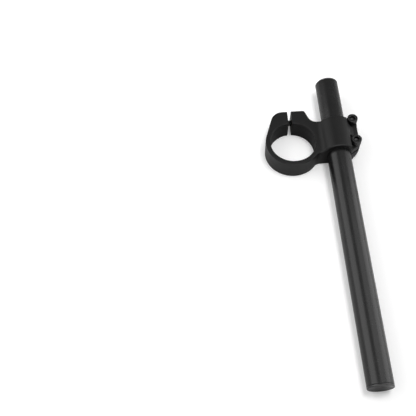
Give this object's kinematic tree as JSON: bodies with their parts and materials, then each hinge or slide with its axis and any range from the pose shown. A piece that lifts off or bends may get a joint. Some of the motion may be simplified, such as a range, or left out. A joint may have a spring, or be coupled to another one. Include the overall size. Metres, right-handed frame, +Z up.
{
  "type": "clip on handlebar",
  "caption": "Black motorcycle clip-on handlebar: a split fork clamp with a clamped sleeve that holds a straight bar beside the fork tube.",
  "frame": {"origin": "on the fork tube's axis, at the clamp's flat underside", "axes": "+Z up the fork tube; the bar lies along Y at +X, with its long grip end to -Y and its short end to +Y"},
  "size_m": [0.0895, 0.3042, 0.03],
  "materials": {
    "clamp": "satin black anodised",
    "bar": "satin black anodised",
    "screws": "black oxide",
    "plugs": "satin black"
  },
  "bodies": {
    "root": {"clamp_body": "clamp", "handlebar_tube": "bar", "end_plug_outer": "plugs", "end_plug_inner": "plugs", "bar_clamp_screw_front": "screws", "bar_clamp_screw_rear": "screws", "fork_pinch_screw": "screws"}
  },
  "joints": []
}
